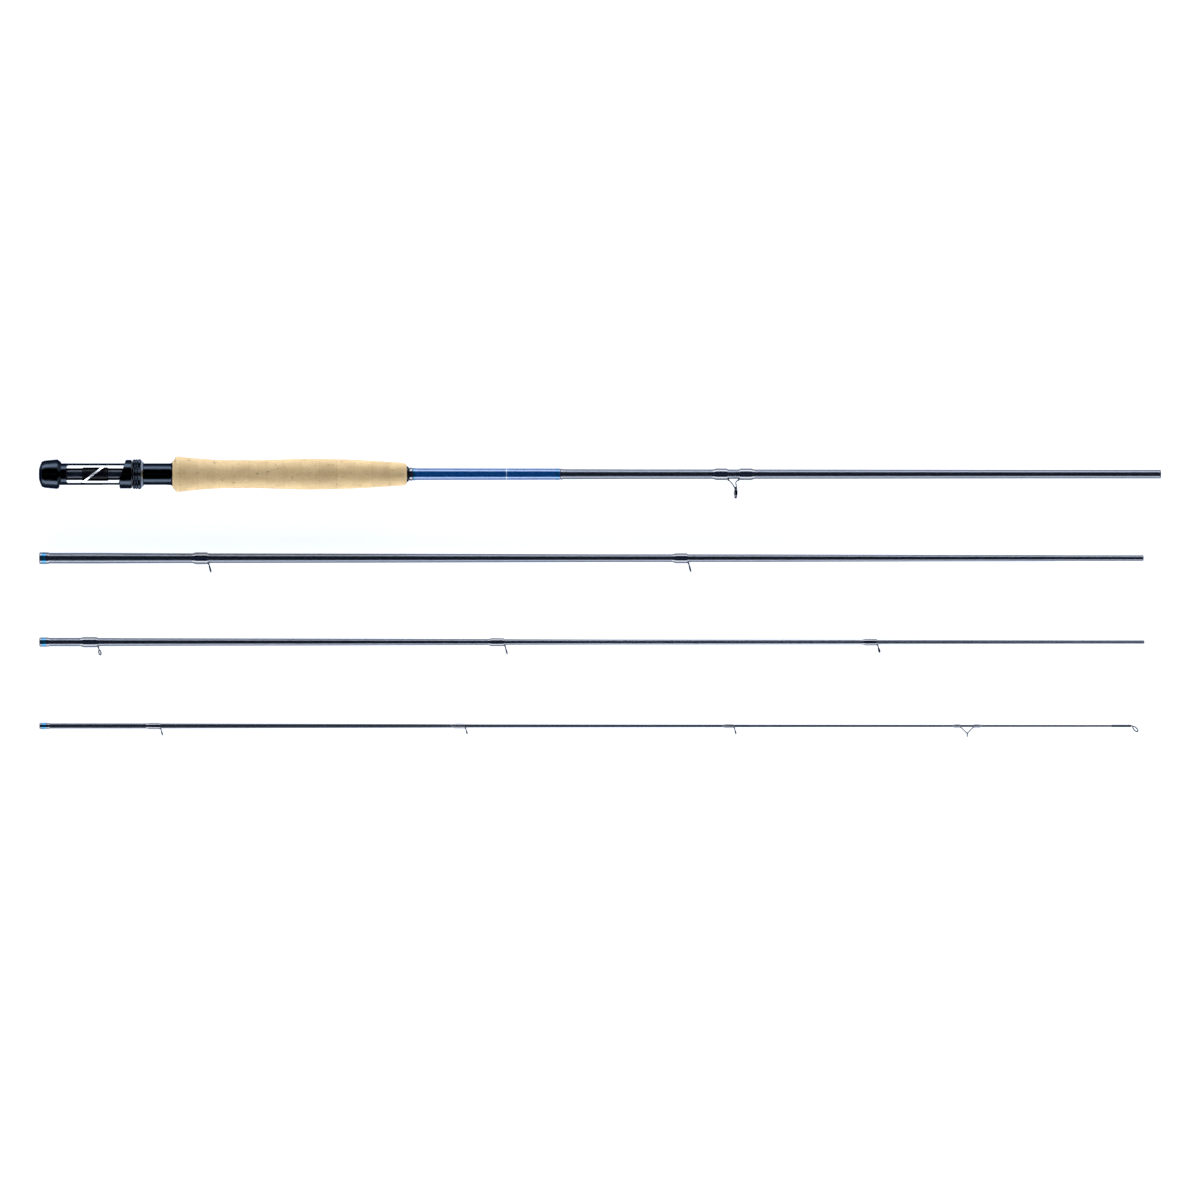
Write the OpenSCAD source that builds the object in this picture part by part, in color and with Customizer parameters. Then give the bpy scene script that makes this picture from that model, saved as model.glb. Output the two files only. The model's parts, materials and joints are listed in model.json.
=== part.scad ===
// Four-piece fly rod, taken apart and laid out as four parallel sections on their sides.
// X runs along the rods, from butt to tip. The guides point to -Y. The sections lie on the plane Z = 0.

/* [Sections] */
// Length of the butt, second, third and tip sections
section_length = [815.3, 802.9, 803.5, 798.9]; // [790:0.1:830]
// Distance between neighbouring sections as they are laid out
row_pitch = 61; // [40:1:90]

/* [Ferrules] */
// Diameter of the plug at the front of the butt, second and third sections
plug_d = [6.35, 4.3, 2.6]; // [2:0.05:7]
// Length of those plugs
plug_length = [66, 57, 49.5]; // [40:0.5:70]
// Radial play of a plug in its socket
ferrule_play = 0.03; // [0.02:0.01:0.05]

/* [Reel seat] */
// Outer diameter of the seat tube
seat_d = 15.8; // [15.4:0.1:16.2]
// Largest diameter of the butt cap
cap_d = 21.5; // [21:0.1:23]
// Height of the windows milled through the seat tube
window_height = 12.6; // [11:0.1:13]
// Diameter of the lock ring
ring_d = 21.7; // [21:0.1:22.5]
// Radial play of the hood and lock ring on the seat tube
seat_play = 0.08; // [0.04:0.01:0.1]

/* [Grip] */
// Diameter at the rear shoulder, the waist, the belly and the nose
grip_d = [26.1, 20.5, 22.5, 16.6]; // [14:0.1:27]
// Width of one cork ring
cork_ring_width = 12.7; // [11:0.1:14]

/* [Guides] */
// Diameter of the wire on the second, third and tip sections
wire_d = [0.9, 0.84, 0.7]; // [0.6:0.02:1]
// Lean of the single-foot rings towards the tip, in degrees
ring_lean = 15; // [5:1:20]
// Outer diameter of the stripping guide's ring
stripping_ring_d = 8.4; // [8:0.1:9]

/* [Hidden] */

// Section numbers
BUTT = 0;
SECOND = 1;
THIRD = 2;
TIP = 3;

round_fn = 64;
wire_fn = 24;
// Gap left by glue, thread or a press between two pieces of one section
glue = 0.02;
past = 1;

// Outer diameter along each blank, as [distance from the rear end, diameter]
blank_taper = [
    [[8.1, 8.7], [100, 8.6], [262, 8.15], [392, 7.3], [437, 7.04], [535, 6.88], [611, 6.67], [700, 6.4]],
    [[0, 7.8], [44, 7.8], [98, 7.2], [164, 6.98], [240, 6.67], [328, 6.21], [404, 5.71], [520, 5.56],
        [644, 4.87], [730, 4.6]],
    [[0, 6.07], [26, 6.07], [76, 5.64], [208, 5.08], [312, 4.5], [350, 4.1], [415, 3.72], [568, 3.36],
        [677, 2.98]],
    [[0, 3.76], [62, 3.7], [110, 3.5], [273, 2.7], [317, 2.33], [404, 2.09], [546, 1.76], [731, 1.5],
        [792.8, 1.4]]
];
// Bore behind the socket of each blank, in the same form
core_taper = [
    [[8.1, 6.6], [250, 6.2], [815.3, 4.3]],
    [[78, 5.5], [802.9, 2.7]],
    [[69, 3.8], [803.5, 1.3]],
    [[60, 2.2], [450, 0.7]]
];
plug_bevel = 0.5;
socket_spare = 2;

// Reel seat, measured from the butt end
cap_length = 16.2;
cap_depth = 8;
seat_from = 8.1;
seat_to = 94.2;
seat_wall = 1.5;
window_from = 19.9;
window_to = 64;
window_corner_r = 1.6;
keyway_from = 46;
keyway_to = 93;
keyway_width = 3;
keyway_depth = 1;
sleeve_from = 31.6;
sleeve_to = 50.4;
brace_from = 30.6;
brace_to = 47;
brace_width = 2;
foot_angle = 38;
foot_room = 1.75;
hood_top_from = 63.2;
hood_guide_from = 56.8;
hood_chamfer = [57.55, 58.9];
hood_chamfer_r = 7.1;
hood_to = 67.4;
hood_r = 10.45;
hood_wall_from = 65.8;
washer_width = 0.4;
ring_from = 68.1;
ring_knurl_to = 73.9;
ring_to = 76.1;
knurl_count = 36;
collar_to = 97.2;

// Grip and the parts ahead of it, measured from the butt end
grip_from = 97.25;
grip_shoulder = 100.6;
grip_shoulder_drop = 4.1;
grip_waist = 140;
grip_waist_to = 152;
grip_belly = 197;
grip_nose = 265.4;
grip_nose_drop = 1.9;
grip_to = 267.4;
check_to = 268.8;
label_wrap_from = 268.85;
label_from = 272;
label_to = 378.6;
label_wrap_to = 380.8;
label_r = [4.42, 4.22];
label_groove = 0.22;
rear_band = [272.1, 273.1];
divider = [339.3, 340.1];
front_band = [375.9, 376.9];

// Ferrule wraps: the outer radius on each section, and the reach of the wrap and of its metallic band
ferrule_r = [0, 4.4, 3.45, 2.4];
ferrule_wrap = [0.2, 7.3];
ferrule_band = [1.6, 4.9];
ferrule_groove = 0.3;

// Single-foot guides: [section, wrap start, wrap end, drop of the ring's centre, outer diameter of the ring]
single_guides = [
    [SECOND, 111, 122.6, 8.1, 4.7],
    [SECOND, 460, 471.4, 7.8, 4.5],
    [THIRD, 29.6, 42.3, 7.6, 4.2],
    [THIRD, 326, 338, 6.9, 4],
    [THIRD, 598, 609, 6, 3.7],
    [TIP, 77.6, 87.8, 5.2, 3.4],
    [TIP, 299.4, 309.4, 4.6, 3],
    [TIP, 496.6, 504.8, 4.5, 3]
];
first_single = 2;
wrap_thickness = [0.8, 0.78, 0.75, 0.62];
wrap_end_thickness = 0.14;
wrap_ramp = 3;
blunt_ramp = 1;
blunt_cover = 0.16;
foot_thickness = [0.5, 0.5, 0.5, 0.36];
foot_width = [1.7, 1.6, 1.4, 0.9];
foot_tuck = 2.1;
knuckle = 0.55;

// Stripping guide, on the butt section
stripping_wraps = [[489.4, 500.4], [508.9, 520.3]];
stripping_x = 506.2;
stripping_drop = 13.4;
stripping_wire_d = 0.85;
stripping_wall = 0.8;
stripping_width = 1.6;
stripping_bore_r = 2.75;
strut_angle = 22;

// Double-foot wire guide nearest the tip
snake_wraps = [[663.5, 669.7], [679.4, 685.7]];
snake_x = 674.7;
snake_drop = 8.1;
snake_ring_d = 3;

// Tip-top
tube_from = 779.9;
tube_to = 794.3;
tube_r = 0.88;
loop_r = 2.45;
loop_wire_r = 0.4;
loop_slope = 46;
loop_neck = 1.1;

// Layout: the highest and lowest points across the rows are the grip's shoulder and the last snake guide
grip_r = grip_d / 2;
half_width = (grip_r[0] + 3 * row_pitch + snake_drop) / 2;
row_y = [for (s = [0 : 3]) half_width - grip_r[0] - s * row_pitch];
// Each section lies on its widest piece: the grip, the ferrule wraps, a guide wrap or the tip-top's loop
axis_z = [
    grip_r[0],
    max([ferrule_r[SECOND], widest_wrap(SECOND)]),
    max([ferrule_r[THIRD], widest_wrap(THIRD)]),
    max([ferrule_r[TIP], widest_wrap(TIP), loop_r + loop_wire_r])
];
seat_r = seat_d / 2;
seat_bore_r = seat_r - seat_wall;
cap_r = cap_d / 2;
lock_r = ring_d / 2;
running_r = seat_r + seat_play;

single_names = [for (g = [0 : len(single_guides) - 1]) str("guide_", g + first_single)];

// Outer radius of a section's blank at distance x from its rear end
function blank_r(section, x) =
    section < TIP && x >= section_length[section] - plug_length[section]
        ? plug_d[section] / 2
        : lookup(x, plugged_taper(section)) / 2;

function widest_wrap(section) =
    max([for (g = single_guides) if (g[0] == section) blank_r(section, g[1] + wrap_ramp)])
        + wrap_thickness[section];

// The taper with its last stretch brought down to the plug's diameter
function plugged_taper(section) =
    section == TIP
        ? blank_taper[section]
        : concat(blank_taper[section],
            [[section_length[section] - plug_length[section], plug_d[section]]]);

// Radius of the cork grip at distance x from the butt end
function grip_at(x) =
    x < grip_shoulder
        ? grip_r[0] - grip_shoulder_drop * (1 - cos(90 * (grip_shoulder - x) / (grip_shoulder - grip_from)))
    : x < grip_waist
        ? grip_r[1] + (grip_r[0] - grip_r[1])
            * (1 - sin(90 * (x - grip_shoulder) / (grip_waist - grip_shoulder)))
    : x < grip_waist_to
        ? grip_r[1]
    : x < grip_belly
        ? grip_r[1] + (grip_r[2] - grip_r[1])
            * (1 - cos(180 * (x - grip_waist_to) / (grip_belly - grip_waist_to))) / 2
    : x < grip_nose
        ? grip_r[2] - (grip_r[2] - grip_r[3]) * (1 - cos(90 * (x - grip_belly) / (grip_nose - grip_belly)))
    : grip_r[3] - grip_nose_drop * (1 - cos(90 * (x - grip_nose) / (grip_to - grip_nose)));

// Corner points of a rectangle with rounded corners
function rounded_rectangle(low, high, r) = [
    for (corner = [[1, 1, 0], [0, 1, 90], [0, 0, 180], [1, 0, 270]])
        for (a = [0 : 15 : 90])
            let (
                cx = corner[0] == 1 ? high[0] - r : low[0] + r,
                cy = corner[1] == 1 ? high[1] - r : low[1] + r
            )
            [cx + r * cos(corner[2] + a), cy + r * sin(corner[2] + a)]
];

// Moves a section from its own frame, rear end at the origin and axis along X, to its place in the layout
module laid_out(section) {
    translate([-section_length[BUTT] / 2, row_y[section], axis_z[section]]) children();
}

// A solid of revolution about the X axis, from a closed outline of [x, radius] points
module turned(outline) {
    rotate([0, 90, 0])
        rotate_extrude($fn = round_fn)
            polygon([for (p = outline) [p[1], p[0]]]);
}

// A straight round wire between two points
module wire(from, to, r) {
    run = to - from;
    translate(from)
        rotate([0, acos(run[2] / norm(run)), atan2(run[1], run[0])])
            cylinder(h = norm(run), r = r, $fn = wire_fn);
}

// A ball that closes a bend; its poles point along Y, clear of the wires that meet in it
module joint_ball(at, r) {
    translate(at)
        rotate([90, 0, 0])
            sphere(r = r, $fn = wire_fn);
}

// A wire ring in a plane across the rod, leaning towards the tip
module wire_ring(centre, outer_d, wire_r, lean) {
    translate(centre)
        rotate([0, 0, lean])
            rotate([0, 90, 0])
                rotate_extrude($fn = round_fn)
                    translate([outer_d / 2 - wire_r, 0]) circle(r = wire_r, $fn = wire_fn);
}

// A sleeve bonded round a blank, with both ends ramped down
module sleeve(section, from, to, rear_r, front_r, ramp) {
    turned([
        [from, blank_r(section, from) + glue],
        [from, blank_r(section, from) + wrap_end_thickness],
        [from + ramp, rear_r],
        [to - ramp, front_r],
        [to, blank_r(section, to) + wrap_end_thickness],
        [to, blank_r(section, to) + glue]
    ]);
}

// A plain ring of constant section about the X axis
module band(from, to, inner_r, outer_r) {
    turned([[from, inner_r], [from, outer_r], [to, outer_r], [to, inner_r]]);
}

// Outline, seen from above, of a guide foot that widens from its thin end and narrows to its bend
function foot_outline(section, thin_end, bend, extra) =
    let (
        w = foot_width[section] / 2 + extra,
        toward = sign(bend - thin_end)
    )
    [
        [thin_end - toward * extra, -w / 4],
        [thin_end + toward * 2.5, -w],
        [bend - toward * 1.6, -w],
        [bend, -w / 3],
        [bend, w / 3],
        [bend - toward * 1.6, w],
        [thin_end + toward * 2.5, w],
        [thin_end - toward * extra, w / 4]
    ];

function foot_base(section, thin_end, bend) = blank_r(section, min(thin_end, bend)) + glue;

// A flattened guide foot lying on the blank on its -Y side
module guide_foot(section, thin_end, bend) {
    translate([0, -foot_base(section, thin_end, bend), 0])
        rotate([90, 0, 0])
            linear_extrude(height = foot_thickness[section])
                polygon(foot_outline(section, thin_end, bend, 0));
}

// A thread wrap under epoxy that binds one guide foot, with room for the foot all the way in to the blank.
// It ramps down to the blank behind the foot and ends blunt at the guide.
module guide_wrap(section, from, to, thin_end, bend) {
    toward = sign(bend - thin_end);
    behind = toward > 0 ? from : to;
    ahead = toward > 0 ? to : from;
    full = behind + toward * wrap_ramp;
    shoulder = ahead - toward * blunt_ramp;
    top = wrap_thickness[section];
    difference() {
        turned([
            [behind, blank_r(section, behind) + glue],
            [behind, blank_r(section, behind) + wrap_end_thickness],
            [full, blank_r(section, full) + top],
            [shoulder, blank_r(section, shoulder) + top],
            [ahead, blank_r(section, ahead) + foot_thickness[section] + blunt_cover],
            [ahead, blank_r(section, ahead) + glue]
        ]);
        rotate([90, 0, 0])
            linear_extrude(height = foot_base(section, thin_end, bend) + foot_thickness[section] + glue)
                polygon(foot_outline(section, thin_end, bend, glue));
    }
}

function foot_y(section, from, wire_r) = -(blank_r(section, from) + glue + wire_r);

module blank(section) {
    length = section_length[section];
    taper = plugged_taper(section);
    core = core_taper[section];
    socket_r = section == BUTT ? 0 : plug_d[section - 1] / 2 + ferrule_play;
    socket_depth = section == BUTT ? 0 : plug_length[section - 1] + socket_spare;
    outside = [for (p = taper) [p[0], p[1] / 2]];
    plug = section == TIP ? [] : [
        [length - plug_bevel, plug_d[section] / 2],
        [length, plug_d[section] / 2 - plug_bevel]
    ];
    inside = [for (i = [len(core) - 1 : -1 : 0]) [core[i][0], core[i][1] / 2]];
    blind_end = section == TIP ? [[outside[len(outside) - 1][0], 0], [core[len(core) - 1][0], 0]] : [];
    socket = section == BUTT ? [] : [[socket_depth, socket_r], [0, socket_r]];
    turned(concat(outside, plug, blind_end, inside, socket));
}

// Room for the end of a reel foot, between the seat tube and a hood, on the -Y side
module foot_pocket(from, to) {
    reach = 2 * cap_r;
    intersection() {
        band(from, to, seat_r - past, seat_r + foot_room);
        translate([from - past, 0, 0])
            rotate([90, 0, 90])
                linear_extrude(height = to - from + 2 * past)
                    polygon([
                        [0, 0],
                        [-reach * cos(foot_angle), reach * sin(foot_angle)],
                        [-reach * cos(foot_angle), -reach * sin(foot_angle)]
                    ]);
    }
}

module butt_cap() {
    color([0.06, 0.07, 0.1])
    laid_out(BUTT)
        difference() {
            turned([
                [0, 0], [0, 4], [0.7, 6.2], [2, 9.2], [4.2, 9.95], [12.9, cap_r], [13.6, cap_r],
                [cap_length, 8.7], [cap_length, seat_r + glue], [cap_depth, seat_r + glue], [cap_depth, 0]
            ]);
            foot_pocket(cap_depth + 0.8, cap_length + past);
        }
}

module seat_frame() {
    color([0.06, 0.07, 0.1])
    laid_out(BUTT)
        difference() {
            band(seat_from, seat_to, seat_bore_r, seat_r);
            translate([0, 0, -seat_d])
                linear_extrude(height = 2 * seat_d)
                    polygon(rounded_rectangle(
                        [window_from, -window_height / 2], [window_to, window_height / 2], window_corner_r));
            translate([keyway_from, -seat_r - past, -keyway_width / 2])
                cube([keyway_to - keyway_from, keyway_depth + past, keyway_width]);
        }
}

// Bright diagonal strut across the upper window, from rail to rail
module seat_brace() {
    edge = window_height / 2 - glue;
    color([0.85, 0.87, 0.9])
    laid_out(BUTT)
        intersection() {
            band(window_from, window_to, seat_bore_r + 0.3, seat_r - 0.2);
            linear_extrude(height = seat_d)
                polygon([
                    [brace_from, -edge], [brace_from + brace_width, -edge],
                    [brace_to + brace_width, edge], [brace_to, edge]
                ]);
        }
}

module core_sleeve() {
    color([0.04, 0.04, 0.06])
    laid_out(BUTT) sleeve(BUTT, sleeve_from, sleeve_to, 4.9, 4.9, 0.5);
}

module arbor(from, to) {
    color([0.1, 0.1, 0.12])
    laid_out(BUTT) band(from, to, blank_r(BUTT, from) + glue, seat_bore_r - glue);
}

module rear_arbor() {
    arbor(seat_from + 1, window_from - 0.6);
}

module front_arbor() {
    arbor(window_to + 0.6, seat_to);
}

// The hood's rear is chamfered and cut oblique, to reach further over the reel foot on the guide side
module sliding_hood() {
    middle = (hood_top_from + hood_guide_from) / 2;
    lean = atan((hood_top_from - hood_guide_from) / (2 * hood_r));
    key_r = seat_r - keyway_depth + 0.35;
    key_width = keyway_width - 0.6;
    color([0.06, 0.07, 0.1])
    laid_out(BUTT) {
        difference() {
            intersection() {
                turned([[hood_chamfer[0], 0], [hood_chamfer[0], hood_chamfer_r], [hood_chamfer[1], hood_r],
                    [hood_to - 0.4, hood_r], [hood_to, hood_r - 0.4], [hood_to, 0]]);
                translate([middle, 0, 0])
                    rotate([0, 0, -lean])
                        turned([[0, 0], [0, 2 * hood_r], [20, 2 * hood_r], [20, 0]]);
            }
            band(hood_guide_from - 5, hood_to + past, 0, running_r);
            foot_pocket(hood_guide_from - 5, hood_wall_from);
        }
        translate([hood_wall_from, -running_r - 0.5, -key_width / 2])
            cube([hood_to - hood_wall_from, running_r + 0.5 - key_r, key_width]);
    }
}

module hood_washer() {
    color([0.1, 0.1, 0.11])
    laid_out(BUTT) band(hood_to + glue, hood_to + washer_width, running_r + 0.1, hood_r - 0.7);
}

module lock_ring() {
    groove = 0.35;
    color([0.06, 0.07, 0.1])
    laid_out(BUTT)
        difference() {
            turned([
                [ring_from, running_r], [ring_from, lock_r - 0.9], [ring_from + 0.9, lock_r],
                [ring_from + 1.5, lock_r], [ring_from + 1.5 + groove, lock_r - groove],
                [ring_from + 1.5 + 2 * groove, lock_r], [ring_from + 3.2, lock_r],
                [ring_from + 3.2 + groove, lock_r - groove], [ring_from + 3.2 + 2 * groove, lock_r],
                [ring_knurl_to, lock_r], [ring_knurl_to + 0.2, lock_r - 0.35], [ring_to, lock_r - 2.35],
                [ring_to, running_r]
            ]);
            for (k = [0 : knurl_count - 1])
                rotate([k * 360 / knurl_count, 0, 0])
                    translate([ring_from - past, 0, lock_r + 0.2])
                        rotate([0, 90, 0])
                            cylinder(h = ring_knurl_to - ring_from + past, r = 0.5, $fn = wire_fn);
        }
}

module seat_collar() {
    inner = blank_r(BUTT, seat_to) + glue;
    color([0.06, 0.07, 0.1])
    laid_out(BUTT)
        turned([
            [seat_to + glue, inner], [seat_to + glue, seat_r], [seat_to + 1.5, seat_r + 0.05],
            [seat_to + 2.2, seat_r + 0.35], [collar_to, seat_r + 1.3], [collar_to, inner]
        ]);
}

// One solid ring of cork for each slice of the grip; the ring at the rear is cut short
module cork_rings() {
    rings = ceil((grip_to - grip_from) / cork_ring_width);
    facets = 8;
    color([0.85, 0.74, 0.55])
    laid_out(BUTT)
        for (i = [0 : rings - 1]) {
            to = grip_to - i * cork_ring_width;
            from = max(grip_from, to - cork_ring_width + glue);
            shoulder = [for (t = [0.25, 0.5, 0.75, 1]) grip_from + t * (grip_shoulder - grip_from)];
            nose = [for (t = [0, 0.25, 0.5, 0.75]) grip_nose + t * (grip_to - grip_nose)];
            evenly = [for (k = [1 : facets - 1]) from + (to - from) * k / facets];
            stations = concat(
                [from],
                [for (x = shoulder) if (x > from && x < to) x],
                [for (x = evenly) if (x > grip_shoulder + 0.3 && x < grip_nose - 0.3) x],
                [for (x = nose) if (x > from && x < to) x],
                [to]
            );
            turned(concat(
                [[from, blank_r(BUTT, from) + glue]],
                [for (x = stations) [x, grip_at(x)]],
                [[to, blank_r(BUTT, from) + glue]]
            ));
        }
}

module winding_check() {
    inner = blank_r(BUTT, grip_to) + glue;
    color([0.08, 0.09, 0.12])
    laid_out(BUTT)
        turned([[grip_to + glue, inner], [grip_to + glue, 5.75], [grip_to + 0.8, 5.6], [check_to, 4.9],
            [check_to, inner]]);
}

module label_rear_wrap() {
    color([0.05, 0.06, 0.09])
    laid_out(BUTT) sleeve(BUTT, label_wrap_from, label_from - glue, 4.95, 4.8, 0.5);
}

module label_sleeve() {
    color([0.02, 0.18, 0.5])
    laid_out(BUTT)
        difference() {
            turned([
                [label_from, blank_r(BUTT, label_from) + glue], [label_from, label_r[0]],
                [label_to, label_r[1]], [label_to, blank_r(BUTT, label_to) + glue]
            ]);
            for (b = [rear_band, divider, front_band])
                band(b[0], b[1], label_at(b[0]) - label_groove, label_at(b[0]) + past);
        }
}

// Radius of the label sleeve at distance x from the butt end
function label_at(x) =
    label_r[0] + (label_r[1] - label_r[0]) * (x - label_from) / (label_to - label_from);

module label_band(reach, height) {
    color([0.4, 0.75, 0.95])
    laid_out(BUTT)
        band(reach[0] + glue, reach[1] - glue, label_at(reach[0]) - label_groove + glue,
            label_at(reach[0]) + height);
}

module label_rear_band() {
    label_band(rear_band, 0.3);
}

module label_divider() {
    label_band(divider, 0.04);
}

module label_front_band() {
    label_band(front_band, 0.1);
}

module label_front_wrap() {
    color([0.05, 0.06, 0.09])
    laid_out(BUTT) sleeve(BUTT, label_to + glue, label_wrap_to, 4.2, 4.1, 0.6);
}

// Wire frame of the stripping guide: a holder ring, two struts behind it and one cranked strut ahead of it
module stripping_guide() {
    r = stripping_wire_d / 2;
    y = foot_y(BUTT, stripping_wraps[0][0], r);
    centre_y = -stripping_drop;
    holder_r = stripping_ring_d / 2;
    rear_bend = stripping_wraps[0][1] + knuckle;
    front_bend = stripping_wraps[1][0] - knuckle;
    strut = holder_r - stripping_wall / 2;
    crank = [
        [front_bend, y, 0],
        [stripping_x + 0.3, y - 1.9, 0],
        [stripping_x + 0.5, centre_y + holder_r - 0.4, 0]
    ];
    color([0.35, 0.36, 0.38])
    laid_out(BUTT) {
        guide_foot(BUTT, stripping_wraps[0][0] + foot_tuck, rear_bend);
        guide_foot(BUTT, stripping_wraps[1][1] - foot_tuck, front_bend);
        joint_ball([rear_bend, y, 0], 1.15 * r);
        for (k = [0 : 1]) {
            joint_ball(crank[k], 1.15 * r);
            wire(crank[k], crank[k + 1], 0.85 * r);
        }
        for (z = [-1, 1])
            wire(
                [rear_bend, y, 0],
                [stripping_x + 0.3, centre_y + strut * sin(strut_angle), z * strut * cos(strut_angle)],
                0.8 * r);
        translate([stripping_x, centre_y, 0])
            band(-stripping_width / 2, stripping_width / 2, holder_r - stripping_wall, holder_r);
    }
}

module stripping_ring() {
    outer = stripping_ring_d / 2 - stripping_wall - glue;
    color([0.25, 0.25, 0.27])
    laid_out(BUTT)
        translate([stripping_x, -stripping_drop, 0])
            turned([[-1.05, stripping_bore_r + 0.25], [-0.55, stripping_bore_r], [0.55, stripping_bore_r],
                [1.05, stripping_bore_r + 0.25], [1.05, outer], [-1.05, outer]]);
}

module stripping_rear_wrap() {
    w = stripping_wraps[0];
    color([0.05, 0.06, 0.09])
    laid_out(BUTT) guide_wrap(BUTT, w[0], w[1], w[0] + foot_tuck, w[1] + knuckle);
}

module stripping_front_wrap() {
    w = stripping_wraps[1];
    color([0.05, 0.06, 0.09])
    laid_out(BUTT) guide_wrap(BUTT, w[0], w[1], w[1] - foot_tuck, w[0] - knuckle);
}

module section_blank(section) {
    color([0.13, 0.15, 0.2])
    laid_out(section) blank(section);
}

module ferrule_wrap(section) {
    color([0.05, 0.06, 0.09])
    laid_out(section)
        difference() {
            sleeve(section, ferrule_wrap[0], ferrule_wrap[1], ferrule_r[section], ferrule_r[section] - 0.1,
                0.5);
            band(ferrule_band[0], ferrule_band[1], ferrule_r[section] - ferrule_groove,
                ferrule_r[section] + past);
        }
}

module trim_band(section) {
    color([0.1, 0.45, 0.85])
    laid_out(section)
        band(ferrule_band[0] + glue, ferrule_band[1] - glue, ferrule_r[section] - ferrule_groove + glue,
            ferrule_r[section] - 0.05);
}

// A foot on the blank, a bend just ahead of the wrap, a short leg and a ring
module single_guide(g) {
    section = g[0];
    wire_r = wire_d[section - 1] / 2;
    bend = [g[2] + knuckle, foot_y(section, g[1] + foot_tuck, wire_r), 0];
    fall = bend[1] + g[3];
    centre = [bend[0] + fall * tan(ring_lean), -g[3], 0];
    leg_end = centre + (g[4] / 2 - wire_r) * [-sin(ring_lean), cos(ring_lean), 0];
    color([0.35, 0.36, 0.38])
    laid_out(section) {
        guide_foot(section, g[1] + foot_tuck, bend[0]);
        joint_ball(bend, 1.12 * wire_r);
        wire(bend, leg_end, 0.85 * wire_r);
        wire_ring(centre, g[4], wire_r, ring_lean);
    }
}

module single_guide_wrap(g) {
    color([0.05, 0.06, 0.09])
    laid_out(g[0]) guide_wrap(g[0], g[1], g[2], g[1] + foot_tuck, g[2] + knuckle);
}

module snake_guide() {
    wire_r = wire_d[TIP - 1] / 2;
    y = foot_y(TIP, snake_wraps[0][0], wire_r);
    rear_bend = [snake_wraps[0][1] + knuckle, y, 0];
    front_bend = [snake_wraps[1][0] - knuckle, y, 0];
    centre = [snake_x, -snake_drop + snake_ring_d / 2, 0];
    crown = centre + [0, snake_ring_d / 2 - wire_r, 0];
    color([0.35, 0.36, 0.38])
    laid_out(TIP) {
        guide_foot(TIP, snake_wraps[0][0] + foot_tuck, rear_bend[0]);
        guide_foot(TIP, snake_wraps[1][1] - foot_tuck, front_bend[0]);
        for (bend = [rear_bend, front_bend]) {
            joint_ball(bend, 1.12 * wire_r);
            wire(bend, crown, 0.85 * wire_r);
        }
        wire_ring(centre, snake_ring_d, wire_r, 0);
    }
}

module snake_rear_wrap() {
    w = snake_wraps[0];
    color([0.05, 0.06, 0.09])
    laid_out(TIP) guide_wrap(TIP, w[0], w[1], w[0] + foot_tuck, w[1] + knuckle);
}

module snake_front_wrap() {
    w = snake_wraps[1];
    color([0.05, 0.06, 0.09])
    laid_out(TIP) guide_wrap(TIP, w[0], w[1], w[1] - foot_tuck, w[0] - knuckle);
}

// Tube that slips over the end of the tip blank, with a bevelled closed end
module tip_tube() {
    bore = blank_r(TIP, tube_from) + glue;
    floor_x = blank_taper[TIP][len(blank_taper[TIP]) - 1][0] + glue;
    color([0.35, 0.36, 0.38])
    laid_out(TIP)
        turned([[tube_from, bore], [tube_from, tube_r - 0.1], [tube_from + 0.3, tube_r],
            [tube_to - 1, tube_r], [tube_to, 0.6], [tube_to, 0], [floor_x, 0], [floor_x, bore]]);
}

// Loop soldered to the end of the tube, sloping down on the guide side
module tip_loop() {
    along = [cos(loop_slope), -sin(loop_slope), 0];
    ball_r = 1.12 * loop_wire_r;
    start = [tube_to + glue + ball_r, 0, 0];
    centre = start + (loop_neck + loop_r - loop_wire_r) * along;
    color([0.35, 0.36, 0.38])
    laid_out(TIP) {
        joint_ball(start, ball_r);
        wire(start, centre - loop_r * along, 0.85 * loop_wire_r);
        wire_ring(centre, 2 * loop_r + 2 * loop_wire_r, loop_wire_r, 90 - loop_slope);
    }
}

butt_cap();
seat_frame();
seat_brace();
core_sleeve();
rear_arbor();
front_arbor();
sliding_hood();
hood_washer();
lock_ring();
seat_collar();
cork_rings();
winding_check();
section_blank(BUTT);  // butt_blank
label_rear_wrap();
label_sleeve();
label_rear_band();
label_divider();
label_front_band();
label_front_wrap();
stripping_guide();
stripping_ring();
stripping_rear_wrap();
stripping_front_wrap();
section_blank(SECOND);  // second_blank
section_blank(THIRD);  // third_blank
section_blank(TIP);  // tip_blank
ferrule_wrap(SECOND);  // second_ferrule_wrap
ferrule_wrap(THIRD);  // third_ferrule_wrap
ferrule_wrap(TIP);  // tip_ferrule_wrap
trim_band(SECOND);  // second_trim_band
trim_band(THIRD);  // third_trim_band
trim_band(TIP);  // tip_trim_band
for (g = [0 : len(single_guides) - 1]) {
    single_guide(single_guides[g]);
    single_guide_wrap(single_guides[g]);
}
snake_guide();
snake_rear_wrap();
snake_front_wrap();
tip_tube();
tip_loop();
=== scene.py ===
"""Looks of a four-piece fly rod, laid out on a white table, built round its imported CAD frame.

Each section has its own frame: x runs along the rod from its rear end, y and z start at its axis,
the guides point to -y, and lengths are in millimetres. An angle round the axis starts at the guide side.
"""
import json
import math
import random

import bmesh
import bpy
from mathutils import Matrix, Vector, noise

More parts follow.
